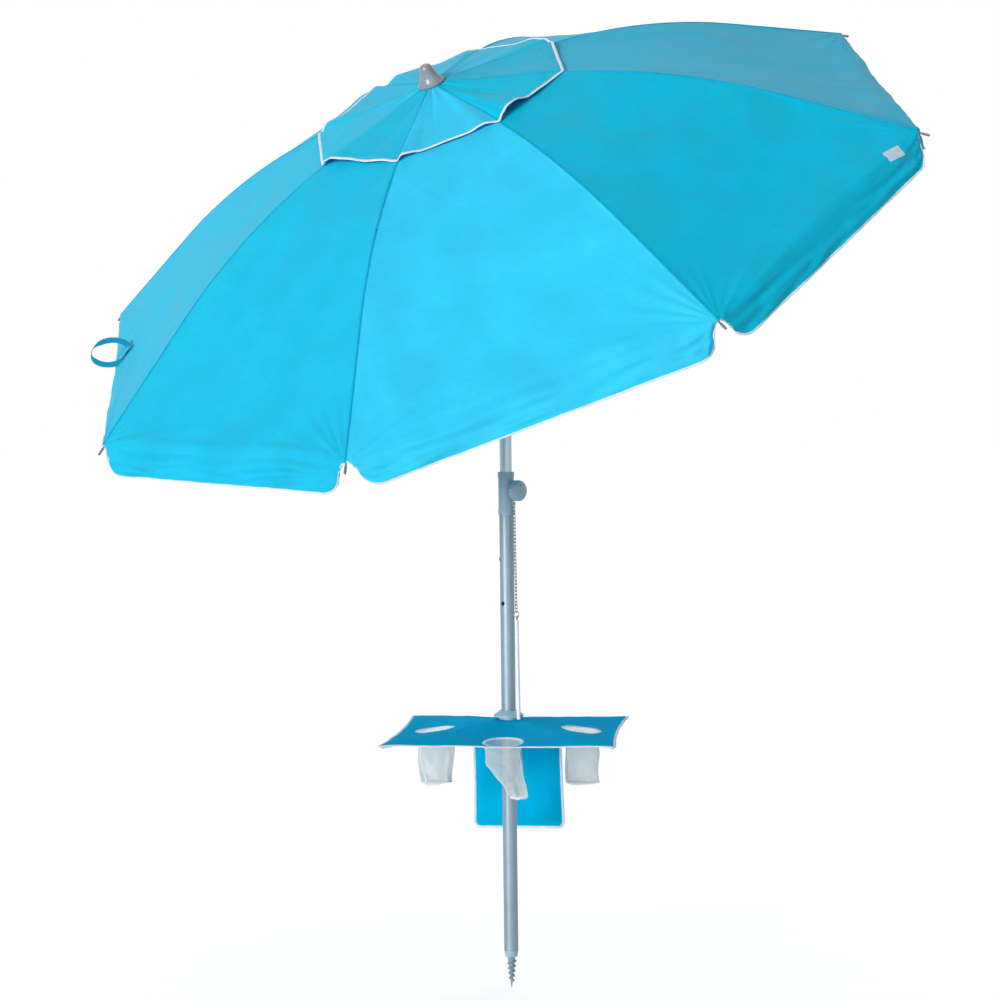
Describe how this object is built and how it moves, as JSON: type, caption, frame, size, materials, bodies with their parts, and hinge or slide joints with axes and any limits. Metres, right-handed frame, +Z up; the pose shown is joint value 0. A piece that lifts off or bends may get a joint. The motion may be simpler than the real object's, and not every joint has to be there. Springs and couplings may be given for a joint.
{
  "type": "beach umbrella",
  "caption": "Tilting beach umbrella with an octagonal vented canopy, a telescopic pole ending in a ground screw, and a cloth table with mesh cup pockets",
  "frame": {"origin": "centre of the lower tube's lower end, where the plastic foot with the ground screw begins", "axes": "+Z up the pole; X is the tilt hinge, with the clamp knob on +X; the open canopy leans towards -Y"},
  "size_m": [1.918, 1.6384, 2.1876],
  "materials": {
    "satin_tube": "satin",
    "slate_plastic": "satin",
    "dark_plastic": "satin",
    "white_plastic": "satin",
    "steel": "bright",
    "painted_steel": "satin",
    "white_fibreglass": "satin",
    "canopy_cloth": "matte",
    "table_cloth": "matte",
    "white_mesh": "open mesh",
    "strap_webbing": "woven",
    "label_cloth": "woven, blank"
  },
  "bodies": {
    "pole": {"lower_pole": "satin_tube", "pole_ferrule": "slate_plastic", "ground_screw": "slate_plastic", "guide_bush": "slate_plastic", "bush_rivet": "steel", "clamp_collar": "slate_plastic", "clamp_nut": "steel"},
    "knob": {"clamp_knob": "slate_plastic", "clamp_bolt": "steel"},
    "chain": {"chain": "steel", "bar_ring": "steel"},
    "bar": {"lever_bar": "white_plastic"},
    "mast": {"upper_pole": "satin_tube", "pole_glide": "slate_plastic", "tilt_lower": "slate_plastic"},
    "tilt_key": {"tilt_button": "dark_plastic"},
    "head": {"tilt_upper": "slate_plastic", "tilt_pin": "steel", "top_tube": "satin_tube", "crown": "slate_plastic", "finial": "slate_plastic", "canopy": "canopy_cloth", "vent_cap": "canopy_cloth", "strap_loop": "strap_webbing", "label_patch": "label_cloth"},
    "runner": {"runner": "slate_plastic"},
    "runner_key": {"runner_button": "dark_plastic"},
    "rib_in_1": {"rib_1": "white_fibreglass"},
    "rib_out_1": {"rib_tip_1": "white_fibreglass"},
    "stay_1": {"stretcher_1": "painted_steel"},
    "rib_in_2": {"rib_2": "white_fibreglass"},
    "rib_out_2": {"rib_tip_2": "white_fibreglass"},
    "stay_2": {"stretcher_2": "painted_steel"},
    "rib_in_3": {"rib_3": "white_fibreglass"},
    "rib_out_3": {"rib_tip_3": "white_fibreglass"},
    "stay_3": {"stretcher_3": "painted_steel"},
    "rib_in_4": {"rib_4": "white_fibreglass"},
    "rib_out_4": {"rib_tip_4": "white_fibreglass"},
    "stay_4": {"stretcher_4": "painted_steel"},
    "rib_in_5": {"rib_5": "white_fibreglass"},
    "rib_out_5": {"rib_tip_5": "white_fibreglass"},
    "stay_5": {"stretcher_5": "painted_steel"},
    "rib_in_6": {"rib_6": "white_fibreglass"},
    "rib_out_6": {"rib_tip_6": "white_fibreglass"},
    "stay_6": {"stretcher_6": "painted_steel"},
    "rib_in_7": {"rib_7": "white_fibreglass"},
    "rib_out_7": {"rib_tip_7": "white_fibreglass"},
    "stay_7": {"stretcher_7": "painted_steel"},
    "rib_in_8": {"rib_8": "white_fibreglass"},
    "rib_out_8": {"rib_tip_8": "white_fibreglass"},
    "stay_8": {"stretcher_8": "painted_steel"},
    "table_grip": {"table_grip": "slate_plastic"},
    "table": {"table_collar": "slate_plastic", "table_arms": "painted_steel", "table_top": "table_cloth", "cup_pocket_left": "white_mesh", "cup_pocket_right": "white_mesh", "cup_pocket_front": "white_mesh", "pouch": "table_cloth"}
  },
  "joints": [
    {"name": "pole_extend", "type": "slide", "parent": "pole", "child": "mast", "axis": [0, 0, 1], "range_m": [-0.3, 0.03]},
    {"name": "knob_turn", "type": "hinge", "parent": "pole", "child": "knob", "pos_m": [0, 0, 1.0324], "axis": [1, 0, 0], "range_deg": [-180, 180]},
    {"name": "chain_swing", "type": "hinge", "parent": "pole", "child": "chain", "pos_m": [0.0228, 0, 1.0034], "axis": [0, -1, 0], "range_deg": [0, 40]},
    {"name": "bar_swing", "type": "hinge", "parent": "chain", "child": "bar", "pos_m": [0.03058, -0.00529, 0.74973], "axis": [-0.9995, 0, -0.0306], "range_deg": [0, 20]},
    {"name": "tilt", "type": "hinge", "parent": "mast", "child": "head", "pos_m": [0, 0, 1.538], "axis": [1, 0, 0], "range_deg": [-32, 0]},
    {"name": "tilt_button_press", "type": "slide", "parent": "mast", "child": "tilt_key", "axis": [1, 0, 0], "range_m": [-0.003, 0], "stiffness_N_per_m": 800, "springref_m": 0.002},
    {"name": "runner_slide", "type": "slide", "parent": "head", "child": "runner", "axis": [0, -0.5299, 0.848], "range_m": [-0.26545, 0], "deforming": ["canopy", "vent_cap", "strap_loop", "label_patch"]},
    {"name": "runner_button_press", "type": "slide", "parent": "runner", "child": "runner_key", "axis": [0.9969, -0.0665, -0.0416], "range_m": [-0.0022, 0], "stiffness_N_per_m": 800, "springref_m": 0.002},
    {"name": "rib_1_hinge", "type": "hinge", "parent": "head", "child": "rib_in_1", "pos_m": [0.01902, -0.22345, 1.90726], "axis": [-0.309, 0.8065, 0.504], "range_deg": [0, 73]},
    {"name": "rib_tip_1_flex", "type": "hinge", "parent": "rib_in_1", "child": "rib_out_1", "pos_m": [0.4701, -0.04665, 1.90089], "axis": [0.309, -0.8065, -0.504], "range_deg": [0, 15.77]},
    {"name": "stay_1_hinge", "type": "hinge", "parent": "runner", "child": "stay_1", "pos_m": [0.01902, -0.15628, 1.79976], "axis": [0.309, -0.8065, -0.504], "range_deg": [0, 55.29]},
    {"name": "rib_2_hinge", "type": "hinge", "parent": "head", "child": "rib_in_2", "pos_m": [0.00908, -0.21358, 1.91342], "axis": [-0.891, 0.385, 0.2406], "range_deg": [0, 73]},
    {"name": "rib_tip_2_flex", "type": "hinge", "parent": "rib_in_2", "child": "rib_out_2", "pos_m": [0.22441, 0.19732, 2.05334], "axis": [0.891, -0.385, -0.2406], "range_deg": [0, 15.77]},
    {"name": "stay_2_hinge", "type": "hinge", "parent": "runner", "child": "stay_2", "pos_m": [0.00908, -0.14641, 1.80593], "axis": [0.891, -0.385, -0.2406], "range_deg": [0, 55.29]},
    {"name": "rib_3_hinge", "type": "hinge", "parent": "head", "child": "rib_in_3", "pos_m": [-0.00618, -0.21256, 1.91406], "axis": [-0.9511, -0.2621, -0.1638], "range_deg": [0, 73]},
    {"name": "rib_tip_3_flex", "type": "hinge", "parent": "rib_in_3", "child": "rib_out_3", "pos_m": [-0.15275, 0.22249, 2.06907], "axis": [0.9511, 0.2621, 0.1638], "range_deg": [0, 15.77]},
    {"name": "stay_3_hinge", "type": "hinge", "parent": "runner", "child": "stay_3", "pos_m": [-0.00618, -0.14539, 1.80657], "axis": [0.9511, 0.2621, 0.1638], "range_deg": [0, 55.29]},
    {"name": "rib_4_hinge", "type": "hinge", "parent": "head", "child": "rib_in_4", "pos_m": [-0.01782, -0.22099, 1.90879], "axis": [-0.454, -0.7556, -0.4722], "range_deg": [0, 73]},
    {"name": "rib_tip_4_flex", "type": "hinge", "parent": "rib_in_4", "child": "rib_out_4", "pos_m": [-0.44042, 0.01413, 1.93887], "axis": [0.454, 0.7556, 0.4722], "range_deg": [0, 15.77]},
    {"name": "stay_4_hinge", "type": "hinge", "parent": "runner", "child": "stay_4", "pos_m": [-0.01782, -0.15382, 1.8013], "axis": [0.454, 0.7556, 0.4722], "range_deg": [0, 55.29]},
    {"name": "rib_5_hinge", "type": "hinge", "parent": "head", "child": "rib_in_5", "pos_m": [-0.01902, -0.23393, 1.90071], "axis": [0.309, -0.8065, -0.504], "range_deg": [0, 73]},
    {"name": "rib_tip_5_flex", "type": "hinge", "parent": "rib_in_5", "child": "rib_out_5", "pos_m": [-0.4701, -0.30572, 1.73901], "axis": [-0.309, 0.8065, 0.504], "range_deg": [0, 15.77]},
    {"name": "stay_5_hinge", "type": "hinge", "parent": "runner", "child": "stay_5", "pos_m": [-0.01902, -0.16676, 1.79321], "axis": [-0.309, 0.8065, 0.504], "range_deg": [0, 55.29]},
    {"name": "rib_6_hinge", "type": "hinge", "parent": "head", "child": "rib_in_6", "pos_m": [-0.00908, -0.2438, 1.89454], "axis": [0.891, -0.385, -0.2406], "range_deg": [0, 73]},
    {"name": "rib_tip_6_flex", "type": "hinge", "parent": "rib_in_6", "child": "rib_out_6", "pos_m": [-0.22441, -0.54968, 1.58656], "axis": [-0.891, 0.385, 0.2406], "range_deg": [0, 15.77]},
    {"name": "stay_6_hinge", "type": "hinge", "parent": "runner", "child": "stay_6", "pos_m": [-0.00908, -0.17663, 1.78705], "axis": [-0.891, 0.385, 0.2406], "range_deg": [0, 55.29]},
    {"name": "rib_7_hinge", "type": "hinge", "parent": "head", "child": "rib_in_7", "pos_m": [0.00618, -0.24482, 1.8939], "axis": [0.9511, 0.2621, 0.1638], "range_deg": [0, 73]},
    {"name": "rib_tip_7_flex", "type": "hinge", "parent": "rib_in_7", "child": "rib_out_7", "pos_m": [0.15275, -0.57485, 1.57083], "axis": [-0.9511, -0.2621, -0.1638], "range_deg": [0, 15.77]},
    {"name": "stay_7_hinge", "type": "hinge", "parent": "runner", "child": "stay_7", "pos_m": [0.00618, -0.17765, 1.78641], "axis": [-0.9511, -0.2621, -0.1638], "range_deg": [0, 55.29]},
    {"name": "rib_8_hinge", "type": "hinge", "parent": "head", "child": "rib_in_8", "pos_m": [0.01782, -0.23639, 1.89917], "axis": [0.454, 0.7556, 0.4722], "range_deg": [0, 73]},
    {"name": "rib_tip_8_flex", "type": "hinge", "parent": "rib_in_8", "child": "rib_out_8", "pos_m": [0.44042, -0.36649, 1.70103], "axis": [-0.454, -0.7556, -0.4722], "range_deg": [0, 15.77]},
    {"name": "stay_8_hinge", "type": "hinge", "parent": "runner", "child": "stay_8", "pos_m": [0.01782, -0.16922, 1.79168], "axis": [-0.454, -0.7556, -0.4722], "range_deg": [0, 55.29]},
    {"name": "table_slide", "type": "slide", "parent": "pole", "child": "table_grip", "axis": [0, 0, 1], "range_m": [-0.25, 0]},
    {"name": "table_turn", "type": "hinge", "parent": "table_grip", "child": "table", "pos_m": [0, 0, 0.51], "axis": [0, 0, 1], "continuous": true}
  ],
  "couplings": [
    {"joint": "rib_1_hinge", "follows": "runner_slide", "rad_per_m": -4.7997},
    {"joint": "rib_tip_1_flex", "follows": "runner_slide", "rad_per_m": -1.0369},
    {"joint": "stay_1_hinge", "follows": "runner_slide", "rad_per_m": -3.6354},
    {"joint": "rib_2_hinge", "follows": "runner_slide", "rad_per_m": -4.7997},
    {"joint": "rib_tip_2_flex", "follows": "runner_slide", "rad_per_m": -1.0369},
    {"joint": "stay_2_hinge", "follows": "runner_slide", "rad_per_m": -3.6354},
    {"joint": "rib_3_hinge", "follows": "runner_slide", "rad_per_m": -4.7997},
    {"joint": "rib_tip_3_flex", "follows": "runner_slide", "rad_per_m": -1.0369},
    {"joint": "stay_3_hinge", "follows": "runner_slide", "rad_per_m": -3.6354},
    {"joint": "rib_4_hinge", "follows": "runner_slide", "rad_per_m": -4.7997},
    {"joint": "rib_tip_4_flex", "follows": "runner_slide", "rad_per_m": -1.0369},
    {"joint": "stay_4_hinge", "follows": "runner_slide", "rad_per_m": -3.6354},
    {"joint": "rib_5_hinge", "follows": "runner_slide", "rad_per_m": -4.7997},
    {"joint": "rib_tip_5_flex", "follows": "runner_slide", "rad_per_m": -1.0369},
    {"joint": "stay_5_hinge", "follows": "runner_slide", "rad_per_m": -3.6354},
    {"joint": "rib_6_hinge", "follows": "runner_slide", "rad_per_m": -4.7997},
    {"joint": "rib_tip_6_flex", "follows": "runner_slide", "rad_per_m": -1.0369},
    {"joint": "stay_6_hinge", "follows": "runner_slide", "rad_per_m": -3.6354},
    {"joint": "rib_7_hinge", "follows": "runner_slide", "rad_per_m": -4.7997},
    {"joint": "rib_tip_7_flex", "follows": "runner_slide", "rad_per_m": -1.0369},
    {"joint": "stay_7_hinge", "follows": "runner_slide", "rad_per_m": -3.6354},
    {"joint": "rib_8_hinge", "follows": "runner_slide", "rad_per_m": -4.7997},
    {"joint": "rib_tip_8_flex", "follows": "runner_slide", "rad_per_m": -1.0369},
    {"joint": "stay_8_hinge", "follows": "runner_slide", "rad_per_m": -3.6354}
  ]
}
